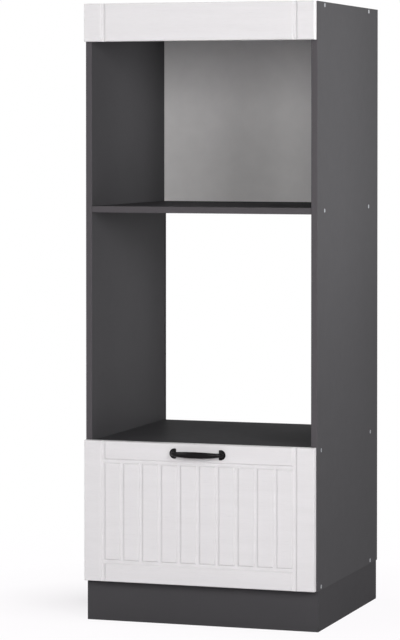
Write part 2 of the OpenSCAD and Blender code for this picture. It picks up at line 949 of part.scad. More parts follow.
module drawer_bottom() {
    half = box_inner_half + box_groove - bottom_air;
    start = front_back_y + board_t - box_groove + bottom_air;
    color(back_grey)
        difference() {
            translate([-half, start, box_bottom_z]) cube([2 * half, box_end_y - start, box_bottom_t]);
            bottom_nail_set(fit);
        }
}

module drawer_box_confirmats() { color(steel) box_screws(); }
module drawer_bottom_nails() { color(steel) bottom_nail_set(); }
module drawer_front_screws() { color(steel) front_screw_set(); }

// Soft pads on the back of the front, opposite the front edges of the side panels
module front_bumpers() {
    color(pad_clear)
        for (side = [-1, 1], z = [front_z + bumper_rise, front_top_z - bumper_rise])
            translate([side * bumper_x, front_back_y + bumper_t, z])
                rotate([90, 0, 0]) cylinder(r = bumper_r, h = bumper_t);
}

// ---------- handle ----------

// The middle line of the grip, from screw to screw: x across, y away from the front
grip_rings = 44;
grip_sides = 20;
grip_rise = handle_reach - grip_t / 2;
function grip_at(a) = [
    -handle_pitch / 2 * sign(cos(a)) * pow(abs(cos(a)), 0.85),
    grip_rise * pow(sin(a), 0.75)
];
// Half height of the grip: full in the middle, slim towards the ends, with a collar at each end
function grip_half_h(a) =
    let (end = abs(cos(a)))
    grip_end_h / 2 + (grip_mid_h - grip_end_h) / 2 * pow(sin(a), 2.2)
    + 0.9 * exp(-pow((end - 0.97) / 0.025, 2));
function grip_half_t(a) =
    let (end = abs(cos(a)))
    grip_t / 2 + 0.5 * pow(end, 4) + 0.5 * exp(-pow((end - 0.97) / 0.025, 2));
// The first and last rings lie inside the rosettes
grip_start = 0.9;
function ring_angle(i) = grip_start + (180 - 2 * grip_start) * i / grip_rings;
function grip_ring(i) =
    let (a = ring_angle(i), p = grip_at(a))
    let (d = grip_at(a + 0.5) - grip_at(a - 0.5))
    let (n = [-d[1], d[0]] / norm(d))
    [for (k = [0 : grip_sides - 1]) let (b = 360 * k / grip_sides)
        [
            p[0] + n[0] * grip_half_t(a) * cos(b),
            grip_half_h(a) * sin(b),
            p[1] + n[1] * grip_half_t(a) * cos(b)
        ]];

// The cast bow as one skin over its rings, drawn with z away from the front
module grip() {
    points = [for (i = [0 : grip_rings]) each grip_ring(i)];
    skin = [for (i = [0 : grip_rings - 1], k = [0 : grip_sides - 1])
        let (a = i * grip_sides + k, b = i * grip_sides + (k + 1) % grip_sides)
        each [[a, b, a + grip_sides], [b, b + grip_sides, a + grip_sides]]];
    first = [for (k = [1 : grip_sides - 2]) [0, k + 1, k]];
    end = grip_rings * grip_sides;
    last = [for (k = [1 : grip_sides - 2]) [end, end + k, end + k + 1]];
    polyhedron(points, concat(first, skin, last));
}

// A domed shell with flutes fanning out from the screw, cut straight on its inner side.
// The collar is the turned neck between a shell and the bow
rim_h = 1;
flute_r = 0.9;
flute_start = 6;
collar_r = 5.2;
collar_h = 2.6;
collar_flare = 0.8;
dome_r = (pow(rosette_r, 2) + pow(rosette_h - rim_h, 2)) / (2 * (rosette_h - rim_h));
function dome_at(r) = rosette_h - dome_r + sqrt(pow(dome_r, 2) - r * r);
flute_tilt = atan((dome_at(flute_start) - rim_h) / (rosette_r - flute_start));

module rosette() {
    difference() {
        intersection() {
            translate([rosette_shift, 0, 0]) cylinder(r = rosette_r, h = rosette_h);
            translate([rosette_shift, 0, rosette_h - dome_r]) sphere(dome_r, $fn = 96);
            translate([-2 * rosette_r, -2 * rosette_r, 0])
                cube([2 * rosette_r + rosette_cut, 4 * rosette_r, rosette_h]);
        }
        for (i = [0 : shell_flutes - 1])
            translate([rosette_shift, 0, 0]) rotate([0, 0, 95 + 170 * (i + 0.5) / shell_flutes])
                translate([flute_start, 0, dome_at(flute_start) + flute_r / 3])
                    rotate([0, 90 + flute_tilt, 0]) cylinder(r = flute_r, h = rosette_r);
    }
    cylinder(r1 = collar_r + collar_flare, r2 = collar_r, h = rosette_h + collar_h);
}

module handle() {
    color(cast_black)
        translate([0, face_y, handle_z]) rotate([90, 0, 0])
            difference() {
                union() {
                    grip();
                    translate([-handle_pitch / 2, 0, 0]) rosette();
                    translate([handle_pitch / 2, 0, 0]) mirror([1, 0, 0]) rosette();
                }
                for (s = [-1, 1])
                    translate([s * handle_pitch / 2, 0, -past])
                        cylinder(r = handle_screw_r + fit, h = handle_screw_depth + fit + past);
            }
}

// Pan-head screws from behind the drawer front into the handle
module handle_screw_set(grow = 0) {
    length = front_t + handle_screw_depth;
    for (s = [-1, 1])
        translate([s * handle_pitch / 2, front_back_y, handle_z])
            rotate([90, 0, 0]) {
                translate([0, 0, -pan_head_h / 2])
                    cylinder(r = handle_screw_r + grow, h = length + pan_head_h / 2 + grow);
                if (grow == 0)
                    translate([0, 0, -pan_head_h])
                        difference() {
                            cylinder(r1 = pan_head_r - pan_head_taper, r2 = pan_head_r, h = pan_head_h);
                            translate([-pan_head_r, -pan_slot_w / 2, -past])
                                cube([2 * pan_head_r, pan_slot_w, pan_slot_w + past]);
                        }
            }
}

module handle_screws() { color(steel) handle_screw_set(); }

left_side_panel();
right_side_panel();
top_panel();
microwave_shelf();
oven_floor_panel();
bottom_panel();
upper_back_panel();
lower_back_panel();
plinth_front();
plinth_back();
plinth_left();
plinth_right();
plinth_brackets();
plinth_bracket_screws();
plinth_confirmats();
carcass_confirmats_left();
carcass_confirmats_right();
carcass_dowels_left();
carcass_dowels_right();
upper_back_nails();
lower_back_nails();
top_trim();
trim_brackets();
trim_bracket_screws();
runner_outer_left();
runner_outer_right();
runner_outer_screws_left();
runner_outer_screws_right();
outer_cage_left();
outer_cage_right();
outer_balls_left();
outer_balls_right();
runner_middle_left();
runner_middle_right();
inner_cage_left();
inner_cage_right();
inner_balls_left();
inner_balls_right();
runner_inner_left();
runner_inner_right();
runner_inner_screws_left();
runner_inner_screws_right();
drawer_front();
drawer_side_left();
drawer_side_right();
drawer_box_front();
drawer_box_back();
drawer_bottom();
drawer_box_confirmats();
drawer_bottom_nails();
drawer_front_screws();
handle();
handle_screws();
front_bumpers();
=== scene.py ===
"""The looks of a tall kitchen cabinet for an oven and a microwave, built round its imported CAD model."""

import math

import bmesh
import bpy
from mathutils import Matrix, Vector


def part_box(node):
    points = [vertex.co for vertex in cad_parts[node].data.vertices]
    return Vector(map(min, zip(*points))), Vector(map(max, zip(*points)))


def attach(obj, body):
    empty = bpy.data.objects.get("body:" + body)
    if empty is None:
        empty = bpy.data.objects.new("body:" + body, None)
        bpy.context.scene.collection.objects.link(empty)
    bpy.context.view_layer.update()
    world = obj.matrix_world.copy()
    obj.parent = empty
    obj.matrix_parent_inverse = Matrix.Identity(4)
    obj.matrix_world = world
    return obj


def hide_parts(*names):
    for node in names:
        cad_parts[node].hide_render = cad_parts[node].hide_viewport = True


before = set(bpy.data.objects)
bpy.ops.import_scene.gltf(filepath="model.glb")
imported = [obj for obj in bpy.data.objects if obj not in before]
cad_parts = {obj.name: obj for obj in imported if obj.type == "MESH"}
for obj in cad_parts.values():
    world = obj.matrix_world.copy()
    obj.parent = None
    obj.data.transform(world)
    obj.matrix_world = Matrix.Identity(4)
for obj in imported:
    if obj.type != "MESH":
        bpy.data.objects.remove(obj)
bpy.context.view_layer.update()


# ---------- plinth boards ----------
# Four strips of graphite laminated chipboard, 100 mm high, that carry the bottom panel.
# The laminate has a fine pearl grain, and its cut edges on show carry edging a little paler than its
# face.
# Long screws down through the bottom panel hold them, and steel angles in the corners.

GRAPHITE = (0.0570, 0.0556, 0.0590, 1.0)
GRAPHITE_PALE = (0.0635, 0.0620, 0.0655, 1.0)
# A darker copy of the laminate for the plinth: painted shade for its place under the drawer front and by
# the floor.
PLINTH_SHADED_GRAPHITE = (0.0515, 0.0500, 0.0530, 1.0)
PLINTH_SHADED_PALE = (0.0572, 0.0556, 0.0588, 1.0)
GRAPHITE_EDGING = (0.0740, 0.0692, 0.0740, 1.0)
SEAM_DARK = (0.030, 0.030, 0.031, 1.0)
CHIP_PALE = (0.47, 0.33, 0.19, 1.0)
CHIP_BROWN = (0.23, 0.14, 0.07, 1.0)
EDGING_THICKNESS = 0.0015
SEAM_WIDTH = 0.00012
SEAM_SHARE = 0.6
SOFT = (0.3, 0.7)
CRISP = (0.35, 0.65)
ALL_WAYS = (1.0, 1.0, 1.0)
MOTTLE_GRAIN = 16.0
PEARL_GRAIN = 1500.0
PEARL_SHARE = 0.9
PEARL_RELIEF = (0.10, 0.00008)
SHEEN_PATCHES = 55.0
LAMINATE_ROUGH = (0.43, 0.47)
EDGING_SMOOTHER = -0.14
CHIP_GRAIN = 420.0
CHIP_RANGE = (0.25, 0.95)
CHIP_SHARE = 0.6
CHIP_RISE = 4.0
CHIP_ROUGH = 0.9
FLECK_GRAIN = 900.0
FLECK_SHARE = 0.6
BOARD_SHINE = 0.001
PLINTH_SHINE = 0.004
WELD = 1e-6
ON_FACE = 1e-5
FLAT_ANGLE = math.radians(0.5)
EDGING_ROUND = 0.0014
SAWN_BREAK = 0.0002


def blank_finish(name):
    """A new finish: the material, its node tree and its shader."""
    finish = bpy.data.materials.new(name)
    finish.use_nodes = True
    tree = finish.node_tree
    return finish, tree, tree.nodes["Principled BSDF"]


def add(tree, kind, inputs=None, **settings):
    """One node with its settings. A socket takes a value, or another node's output."""
    node = tree.nodes.new(kind)
    for key, value in settings.items():
        setattr(node, key, value)
    for socket, value in (inputs or {}).items():
        if isinstance(value, bpy.types.NodeSocket):
            tree.links.new(value, node.inputs[socket])
        else:
            node.inputs[socket].default_value = value
    return node


def blend_colours(tree, share, first, second):
    """The first colour where share is 0, the second where it is 1: sockets 6 and 7 of the node."""
    node = add(tree, "ShaderNodeMix", {0: share, 6: first, 7: second}, data_type="RGBA")
    return node.outputs[2]


def sums(tree, operation, first, second=0.0, third=0.0):
    """One sum on numbers."""
    node = add(tree, "ShaderNodeMath", {0: first, 1: second, 2: third}, operation=operation)
    return node.outputs[0]


def spread(tree, source, low, high, to_low=0.0, to_high=1.0):
    """Stretches the numbers between low and high over to_low and to_high, and clamps them."""
    node = add(tree, "ShaderNodeMapRange", {0: source, 1: low, 2: high, 3: to_low, 4: to_high})
    return node.outputs[0]


def on_piece(tree, drawn=ALL_WAYS):
    """The place on the piece in metres. A grain is drawn out where the number for an axis is small."""
    place = add(tree, "ShaderNodeTexCoord").outputs["Object"]
    return add(tree, "ShaderNodeMapping", {"Vector": place, "Scale": drawn}).outputs[0]


def clouds(tree, place, scale, detail=3.0, roughness=0.5):
    """Soft noise with so many clouds a metre. It seldom leaves the range named SOFT."""
    inputs = {"Vector": place, "Scale": scale, "Detail": detail, "Roughness": roughness}
    return add(tree, "ShaderNodeTexNoise", inputs).outputs["Fac"]


def relief(tree, height, strength, distance):
    """A bump: this height from 0 to 1, times the distance in metres, at this strength."""
    inputs = {"Height": height, "Strength": strength, "Distance": distance}
    return add(tree, "ShaderNodeBump", inputs).outputs[0]


def facing(tree, direction):
    """1 on the sides of a piece that face this way, else 0."""
    mostly = 0.6
    normal = add(tree, "ShaderNodeTexCoord").outputs["Normal"]
    dot = add(tree, "ShaderNodeVectorMath", {0: normal, 1: direction}, operation="DOT_PRODUCT")
    return sums(tree, "GREATER_THAN", dot.outputs["Value"], mostly)


def raw_chipboard(tree, place):
    """The sawn core of chipboard: pale and brown chips pressed flat, and the bump they leave."""
    chips = add(tree, "ShaderNodeTexVoronoi", {"Vector": place, "Scale": CHIP_GRAIN})
    tone = add(tree, "ShaderNodeSeparateColor", {0: chips.outputs["Color"]}).outputs[0]
    flecks = clouds(tree, place, FLECK_GRAIN, 4.0, 0.7)
    tone = sums(tree, "MULTIPLY_ADD", flecks, FLECK_SHARE, sums(tree, "MULTIPLY", tone, CHIP_SHARE))
    colour = blend_colours(tree, spread(tree, tone, *CHIP_RANGE), CHIP_BROWN, CHIP_PALE)
    return colour, tone


def laminate(name, front_y=None, tones=(GRAPHITE, GRAPHITE_PALE), raw_side=None, shine=BOARD_SHINE):
    """Graphite laminate, with edging up to front_y and the bare core on its raw side."""
    finish, tree, shader = blank_finish(name)
    place = on_piece(tree)
    mottle = spread(tree, clouds(tree, place, MOTTLE_GRAIN), *CRISP)
    mottle = sums(tree, "MULTIPLY", mottle, 1.0 - PEARL_SHARE)
    pearl = clouds(tree, place, PEARL_GRAIN, 2.0)
    tone = sums(tree, "MULTIPLY_ADD", pearl, PEARL_SHARE, mottle)
    colour = blend_colours(tree, spread(tree, tone, *SOFT), *tones)
    rough = spread(tree, clouds(tree, place, SHEEN_PATCHES), *SOFT, *LAMINATE_ROUGH)
    height = pearl

    if front_y is not None:
        depth = add(tree, "ShaderNodeSeparateXYZ", {0: place}).outputs[1]
        behind_edging = sums(tree, "SUBTRACT", depth, front_y + EDGING_THICKNESS)
        edging = sums(tree, "LESS_THAN", behind_edging, 0.0)
        off_seam = sums(tree, "ABSOLUTE", behind_edging)
        seam = spread(tree, off_seam, SEAM_WIDTH / 2, SEAM_WIDTH, SEAM_SHARE, 0.0)
        colour = blend_colours(tree, edging, colour, GRAPHITE_EDGING)
        colour = blend_colours(tree, seam, colour, SEAM_DARK)
        rough = sums(tree, "MULTIPLY_ADD", edging, EDGING_SMOOTHER, rough)

    if raw_side is not None:
        raw = facing(tree, raw_side)
        core, core_height = raw_chipboard(tree, place)
        colour = blend_colours(tree, raw, colour, core)
        rough = sums(tree, "MAXIMUM", rough, sums(tree, "MULTIPLY", raw, CHIP_ROUGH))
        core_height = sums(tree, "MULTIPLY", raw, core_height)
        height = sums(tree, "MULTIPLY_ADD", core_height, CHIP_RISE, height)
    tree.links.new(colour, shader.inputs["Base Color"])
    tree.links.new(rough, shader.inputs["Roughness"])
    tree.links.new(relief(tree, height, *PEARL_RELIEF), shader.inputs["Normal"])
    shader.inputs["Specular IOR Level"].default_value = shine
    return finish


def on_corner(edge, low, high):
    """True for an edge of a mesh that runs along one of the twelve arrises of its box."""
    middle = (edge.verts[0].co + edge.verts[1].co) / 2
    run = edge.verts[1].co - edge.verts[0].co
    sides = 0
    for axis in range(3):
        near = min(abs(middle[axis] - low[axis]), abs(middle[axis] - high[axis])) < ON_FACE
        if near and abs(run[axis]) < ON_FACE:
            sides += 1
    return sides == 2


def board_piece(node, body, finish, edged=EDGING_ROUND):
    """The board of a CAD node, with the arrises of its edging rounded and the others just broken."""
    low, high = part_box(node)
    cut = bmesh.new()
    cut.from_mesh(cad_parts[node].data)
    bmesh.ops.remove_doubles(cut, verts=cut.verts, dist=WELD)
    bmesh.ops.dissolve_limit(cut, angle_limit=FLAT_ANGLE, verts=cut.verts, edges=cut.edges)
    corners = [edge for edge in cut.edges if on_corner(edge, low, high)]
    front = [e for e in corners if all(v.co.y < low.y + ON_FACE for v in e.verts)]
    others = [e for e in corners if e not in front]
    if edged and front:
        bmesh.ops.bevel(cut, geom=front, offset=edged, segments=4, profile=0.5, affect="EDGES")
        others = [e for e in cut.edges if e.is_valid and on_corner(e, low, high)]
    bmesh.ops.bevel(cut, geom=others, offset=SAWN_BREAK, segments=2, profile=0.5, affect="EDGES")
    mesh = bpy.data.meshes.new(node + "_board")
    cut.to_mesh(mesh)
    cut.free()
    mesh.materials.append(finish)
    board = bpy.data.objects.new(node + "_board", mesh)
    bpy.context.scene.collection.objects.link(board)
    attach(board, body)
    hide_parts(node)


# Painted shade: the plinth boards take the darker copy of the laminate.
for side in ("front", "back", "left", "right"):
    node = "plinth_" + side
    finish = laminate("laminate_" + node, tones=(PLINTH_SHADED_GRAPHITE, PLINTH_SHADED_PALE), shine=PLINTH_SHINE)
    board_piece(node, "carcass", finish, edged=0.0)


# ---------- plinth screws and corner brackets ----------
# Zinc plated steel: confirmats down through the bottom panel, and pressed angles in the corners.
# The plating is bright, a little cloudy, and finely scratched by the tumbling of the parts.

ZINC = (0.35, 0.355, 0.37, 1.0)
ZINC_BLUE = (0.29, 0.30, 0.33, 1.0)
ZINC_DULL = (0.22, 0.22, 0.23, 1.0)
ZINC_BLOOM = 90.0
ZINC_ROUGH = (0.26, 0.46)
BLOOM_SHARE = 0.6
SCRATCH_GRAIN = 1600.0
SCRATCH_RELIEF = (0.3, 0.00002)
WORN_RANGE = (0.62, 0.80)
WORN_SHARE = 0.6
ALONG_ANGLES = (1.0, 1.0, 0.2)


def zinc_plating(name, drawn=ALL_WAYS, rough_range=ZINC_ROUGH):
    """Bright zinc plating, clouded, with fine scratches that are drawn out one way or all ways."""
    finish, tree, shader = blank_finish(name)
    place = on_piece(tree)
    cloud = clouds(tree, place, ZINC_BLOOM, 4.0)
    colour = blend_colours(tree, spread(tree, cloud, *CRISP), ZINC, ZINC_BLUE)
    scratch = clouds(tree, on_piece(tree, drawn), SCRATCH_GRAIN, 3.0, 0.6)
    worn = spread(tree, scratch, *WORN_RANGE, 0.0, WORN_SHARE)
    colour = blend_colours(tree, worn, colour, ZINC_DULL)
    fine = sums(tree, "MULTIPLY", scratch, 1.0 - BLOOM_SHARE)
    uneven = sums(tree, "MULTIPLY_ADD", cloud, BLOOM_SHARE, fine)
    rough = spread(tree, uneven, *CRISP, *rough_range)
    tree.links.new(colour, shader.inputs["Base Color"])
    tree.links.new(rough, shader.inputs["Roughness"])
    tree.links.new(relief(tree, scratch, *SCRATCH_RELIEF), shader.inputs["Normal"])
    shader.inputs["Metallic"].default_value = 1.0
    return finish


def dress(node, finish):
    """Gives a CAD node its finish and leaves its shape as it is."""
    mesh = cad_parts[node].data
    mesh.materials.clear()
    mesh.materials.append(finish)


zinc_screws = zinc_plating("zinc_plated_screws")
zinc_angles = zinc_plating("zinc_plated_angles", ALONG_ANGLES)
dress("plinth_confirmats", zinc_screws)
dress("plinth_bracket_screws", zinc_screws)
dress("plinth_brackets", zinc_angles)


# ---------- side panels ----------
# Two full height panels of the same laminated chipboard, with rounded edging down their fronts.
# The rear edges stand against the wall and are left as sawn.

REAR = (0.0, 1.0, 0.0)
SIDE_SHINE = 0.008

for node in ("left_side_panel", "right_side_panel"):
    finish = laminate("laminate_" + node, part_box(node)[0].y, raw_side=REAR, shine=SIDE_SHINE)
    board_piece(node, "carcass", finish)


# ---------- bottom, oven floor, microwave shelf and top ----------
# Four boards of the same laminated chipboard, edged at the front and sawn at the rear.
# They lie between the side panels, each held by two confirmats and a dowel at either end.

for node in ("bottom_panel", "oven_floor_panel", "microwave_shelf", "top_panel"):
    finish = laminate("laminate_" + node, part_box(node)[0].y, raw_side=REAR)
    board_piece(node, "carcass", finish)


# ---------- confirmats and dowels ----------
# Long zinc plated screws with hex sockets, sunk flush in the outer faces of the side panels.
# The dowels are short turned rods of beech, set in the ends of the boards and in the sides.

BEECH_PALE = (0.62, 0.43, 0.26, 1.0)
BEECH_DARK = (0.45, 0.28, 0.15, 1.0)
BEECH_GRAIN = 1400.0
BEECH_DRAWN = (0.12, 1.0, 1.0)
BEECH_ROUGH = (0.55, 0.72)
BEECH_RELIEF = (0.4, 0.00005)
RAY_RANGE = (0.35, 0.70)


def turned_beech(name):
    """Raw beech with its short dark rays along the dowel."""
    finish, tree, shader = blank_finish(name)
    grain = clouds(tree, on_piece(tree, BEECH_DRAWN), BEECH_GRAIN, 4.0, 0.6)
    rays = spread(tree, grain, *RAY_RANGE)
    colour = blend_colours(tree, rays, BEECH_PALE, BEECH_DARK)
    tree.links.new(colour, shader.inputs["Base Color"])
    tree.links.new(spread(tree, grain, *SOFT, *BEECH_ROUGH), shader.inputs["Roughness"])
    tree.links.new(relief(tree, grain, *BEECH_RELIEF), shader.inputs["Normal"])
    return finish


beech = turned_beech("raw_beech")
for side in ("left", "right"):
    dress("carcass_confirmats_" + side, zinc_screws)
    dress("carcass_dowels_" + side, beech)


# ---------- back panels and their nails ----------
# Thin hardboard, lacquered light grey on the face that shows in the niche.
# The rear face is raw brown fibre with the print of the press screen. Wire nails hold the edges.

LACQUER_GREY = (0.665, 0.650, 0.648, 1.0)
LACQUER_PALE = (0.700, 0.684, 0.682, 1.0)
FIBRE_BROWN = (0.23, 0.135, 0.070, 1.0)
FIBRE_DARK = (0.15, 0.085, 0.042, 1.0)
SCREEN_PITCH = 0.0014
SCREEN_DEPTH = 0.12
FIBRE_GRAIN = 600.0
FIBRE_RISE = 3.0
FIBRE_ROUGHER = 0.42
HAZE_PATCHES = 24.0
LACQUER_GRAIN = 700.0
LACQUER_ROUGH = (0.36, 0.44)
HARDBOARD_RELIEF = (0.25, 0.00006)
NAIL_ROUGH = (0.22, 0.36)
FRONT = (0.0, -1.0, 0.0)


def pressed_hardboard(name, lacquered, along):
    """Hardboard: satin grey lacquer on one side, raw fibre on the other.

    The screen print behind it repeats across X and along the axis of this number.
    """
    finish, tree, shader = blank_finish(name)
    place = on_piece(tree)
    haze = clouds(tree, place, HAZE_PATCHES, 4.0)
    peel = clouds(tree, place, LACQUER_GRAIN, 2.0)
    lacquer = blend_colours(tree, spread(tree, haze, *SOFT), LACQUER_GREY, LACQUER_PALE)
    fibre = clouds(tree, place, FIBRE_GRAIN, 5.0, 0.75)
    axes = add(tree, "ShaderNodeSeparateXYZ", {0: place})
    turns = 2 * math.pi / SCREEN_PITCH
    across = sums(tree, "SINE", sums(tree, "MULTIPLY", axes.outputs[0], turns))
    lengthways = sums(tree, "SINE", sums(tree, "MULTIPLY", axes.outputs[along], turns))
    screen = sums(tree, "MULTIPLY", across, lengthways)
    fibre_tone = sums(tree, "MULTIPLY_ADD", screen, SCREEN_DEPTH, fibre)
    raw = blend_colours(tree, spread(tree, fibre_tone, *SOFT), FIBRE_DARK, FIBRE_BROWN)
    behind = sums(tree, "SUBTRACT", 1.0, facing(tree, lacquered))
    colour = blend_colours(tree, behind, lacquer, raw)
    fibre_height = sums(tree, "MULTIPLY", behind, fibre_tone)
    height = sums(tree, "MULTIPLY_ADD", fibre_height, FIBRE_RISE, peel)
    satin = spread(tree, haze, *SOFT, *LACQUER_ROUGH)
    rough = sums(tree, "MULTIPLY_ADD", behind, FIBRE_ROUGHER, satin)
    tree.links.new(colour, shader.inputs["Base Color"])
    tree.links.new(rough, shader.inputs["Roughness"])
    tree.links.new(relief(tree, height, *HARDBOARD_RELIEF), shader.inputs["Normal"])
    return finish


hardboard = pressed_hardboard("lacquered_hardboard", FRONT, 2)
bright_nails = zinc_plating("bright_wire_nails", rough_range=NAIL_ROUGH)
for place in ("upper", "lower"):
    dress(place + "_back_panel", hardboard)
    dress(place + "_back_nails", bright_nails)


# ---------- runners ----------
# Three rolled steel members on each side, drawn through each other on two rows of steel balls.
# The outer one is screwed to the side panel and the inner one to the drawer.

CAGE_GREY = (0.40, 0.40, 0.41, 1.0)
CAGE_DARK = (0.26, 0.26, 0.27, 1.0)
BALL_BRIGHT = (0.74, 0.74, 0.76, 1.0)
BALL_SHADE = (0.62, 0.62, 0.65, 1.0)
OIL_PATCHES = 220.0
OIL_SHARE = 0.6
ROLLED_GRAIN = 2600.0
ROLLED_DRAWN = (1.0, 0.08, 1.0)
ROLLED_RELIEF = (0.25, 0.00001)
CAGE_ROUGH = (0.34, 0.50)
BALL_ROUGH = (0.07, 0.16)
MEMBER_DRAWN = (1.0, 0.03, 1.0)
MEMBER_ROUGH = (0.24, 0.42)


def bare_steel(name, bright, dark, rough_range):
    """Bare steel with a thin film of oil: patches of two tones, and a fine rolled grain."""
    finish, tree, shader = blank_finish(name)
    patches = clouds(tree, on_piece(tree), OIL_PATCHES, 4.0)
    grain = clouds(tree, on_piece(tree, ROLLED_DRAWN), ROLLED_GRAIN, 2.0)
    oil = sums(tree, "MULTIPLY", patches, OIL_SHARE)
    share = spread(tree, sums(tree, "MULTIPLY_ADD", grain, 1.0 - OIL_SHARE, oil), *CRISP)
    tree.links.new(blend_colours(tree, share, bright, dark), shader.inputs["Base Color"])
    tree.links.new(spread(tree, share, 0.0, 1.0, *rough_range), shader.inputs["Roughness"])
    tree.links.new(relief(tree, grain, *ROLLED_RELIEF), shader.inputs["Normal"])
    shader.inputs["Metallic"].default_value = 1.0
    return finish


rolled_zinc = zinc_plating("rolled_zinc_plated_steel", MEMBER_DRAWN, MEMBER_ROUGH)
cage_steel = bare_steel("pressed_cage_steel", CAGE_GREY, CAGE_DARK, CAGE_ROUGH)
ball_steel = bare_steel("polished_ball_steel", BALL_BRIGHT, BALL_SHADE, BALL_ROUGH)
for side in ("left", "right"):
    for member in ("outer", "middle", "inner"):
        dress(f"runner_{member}_{side}", rolled_zinc)
    for row in ("outer", "inner"):
        dress(f"{row}_cage_{side}", cage_steel)
        dress(f"{row}_balls_{side}", ball_steel)
        dress(f"runner_{row}_screws_{side}", zinc_screws)


# ---------- drawer box ----------
# Graphite laminated boards edged along their tops, with a hardboard bottom let into grooves.
# Confirmats hold the corners and nails hold the bottom to the back board.

UP = (0.0, 0.0, 1.0)

for node in ("drawer_side_left", "drawer_side_right", "drawer_box_front", "drawer_box_back"):
    board_piece(node, "drawer", laminate("laminate_" + node), edged=0.0)
dress("drawer_bottom", pressed_hardboard("drawer_hardboard", UP, 1))
dress("drawer_box_confirmats", zinc_screws)
dress("drawer_bottom_nails", bright_nails)


# ---------- drawer front ----------
# Milled fibreboard wrapped in white film with a fine wood pore. The film ends at the back,
# which is plain white. Screws from inside the box hold it, and clear pads soften its closing.

FILM_WHITE = (0.612, 0.599, 0.608, 1.0)
FILM_WARM = (0.590, 0.577, 0.585, 1.0)
PORE_GREY = (0.500, 0.485, 0.500, 1.0)
BACK_WHITE = (0.640, 0.625, 0.635, 1.0)
PAD_CLEAR = (0.72, 0.74, 0.75, 1.0)
PAD_MILKY = (0.60, 0.62, 0.63, 1.0)
PORE_GRAIN = 900.0
PORE_DRAWN = (0.045, 1.0, 1.0)
PORE_RELIEF = (0.5, 0.00006)
PORE_RANGE = (0.57, 0.70)
PORE_TINT = 0.35
PORE_ROUGHER = 0.2
BAND_GRAIN = 60.0
BAND_DRAWN = (0.10, 1.0, 1.0)
FILM_ROUGH = (0.34, 0.42)
PAD_GRAIN = 500.0
PAD_RELIEF = (0.2, 0.00003)
PAD_ROUGH = (0.20, 0.35)
PAD_COAT = 0.3


def pored_film(name):
    """White film with short pores along X, and the smooth white back of the board."""
    finish, tree, shader = blank_finish(name)
    bands = clouds(tree, on_piece(tree, BAND_DRAWN), BAND_GRAIN, 4.0, 0.6)
    pores = clouds(tree, on_piece(tree, PORE_DRAWN), PORE_GRAIN, 3.0, 0.65)
    pore = spread(tree, pores, *PORE_RANGE)
    film = blend_colours(tree, spread(tree, bands, *SOFT), FILM_WHITE, FILM_WARM)
    film = blend_colours(tree, sums(tree, "MULTIPLY", pore, PORE_TINT), film, PORE_GREY)
    behind = facing(tree, REAR)
    tree.links.new(blend_colours(tree, behind, film, BACK_WHITE), shader.inputs["Base Color"])
    satin = spread(tree, bands, *SOFT, *FILM_ROUGH)
    rough = sums(tree, "MULTIPLY_ADD", pore, PORE_ROUGHER, satin)
    tree.links.new(rough, shader.inputs["Roughness"])
    depth = sums(tree, "MULTIPLY", pore, sums(tree, "SUBTRACT", behind, 1.0))
    tree.links.new(relief(tree, depth, *PORE_RELIEF), shader.inputs["Normal"])
    return finish


def milky_pad(name):
    """Clear silicone that has gone a little milky."""
    finish, tree, shader = blank_finish(name)
    cloud = clouds(tree, on_piece(tree), PAD_GRAIN)
    tree.links.new(blend_colours(tree, cloud, PAD_CLEAR, PAD_MILKY), shader.inputs["Base Color"])
    tree.links.new(spread(tree, cloud, *SOFT, *PAD_ROUGH), shader.inputs["Roughness"])
    tree.links.new(relief(tree, cloud, *PAD_RELIEF), shader.inputs["Normal"])
    shader.inputs["Coat Weight"].default_value = PAD_COAT
    return finish


white_film = pored_film("white_pored_film")
dress("drawer_front", white_film)
dress("drawer_front_screws", zinc_screws)
dress("front_bumpers", milky_pad("milky_silicone"))


# ---------- handle ----------
# A bow cast in zinc with a fluted shell at each end, lacquered black, held by two screws from behind.
# The lacquer is satin, and worn a little thinner in scattered patches.

CAST_BLACK = (0.0040, 0.0035, 0.0040, 1.0)
CAST_WORN = (0.0110, 0.0100, 0.0105, 1.0)
CAST_SHINE = 0.10
CAST_ROUGH = (0.20, 0.28)
CAST_GRAIN = 1100.0
CAST_RELIEF = (0.3, 0.00006)
RUBBED_PATCHES = 260.0
RUBBED_RANGE = (0.55, 0.75)
HANDLE_PITCH = 0.128
GRIP_MIDDLE_HEIGHT = 0.016
GRIP_END_HEIGHT = 0.009
GRIP_THICKNESS = 0.008
GRIP_THICKER_END = 0.0005
GRIP_SWELL = 2.2
BOW_ACROSS = 0.85
BOW_OUT = 0.75
BOW_END_DEGREES = 2.0
BEADS = ((0.970, 0.022, 1.0), (0.925, 0.016, 0.45))
BEAD_RISE = 0.0009
BEAD_OUT = 0.0005
SHELL_RADIUS = 0.0127
SHELL_HEIGHT = 0.0034
SHELL_FALL = 0.0022
SHELL_SHIFT = 0.0042
SHELL_CUT = 0.0043
SHELL_CORNER = 12
FLUTES = 7
FLUTE_DEPTH = 0.0008
FLUTE_START = 0.40
FLUTE_DEEPENS = 0.25
FLUTE_END = 0.93
FLUTE_SHALLOWS = 0.06
FAN_START = -0.25
FAN_DEEPENS = 0.4
RIM_PLACE = 0.955
RIM_WIDTH = 0.03
RIM_RISE = 0.00035
NECK_PROFILE = (
    (0.0072, 0.0022), (0.0070, 0.0032), (0.0058, 0.0037), (0.0055, 0.0044),
    (0.0060, 0.0050), (0.0060, 0.0056), (0.0054, 0.0062), (0.0040, 0.0066),
)
GRIP_RINGS = 120
GRIP_SIDES = 40
SHELL_RINGS = 22
SHELL_SIDES = 112
CREASE_ANGLE = math.radians(50)


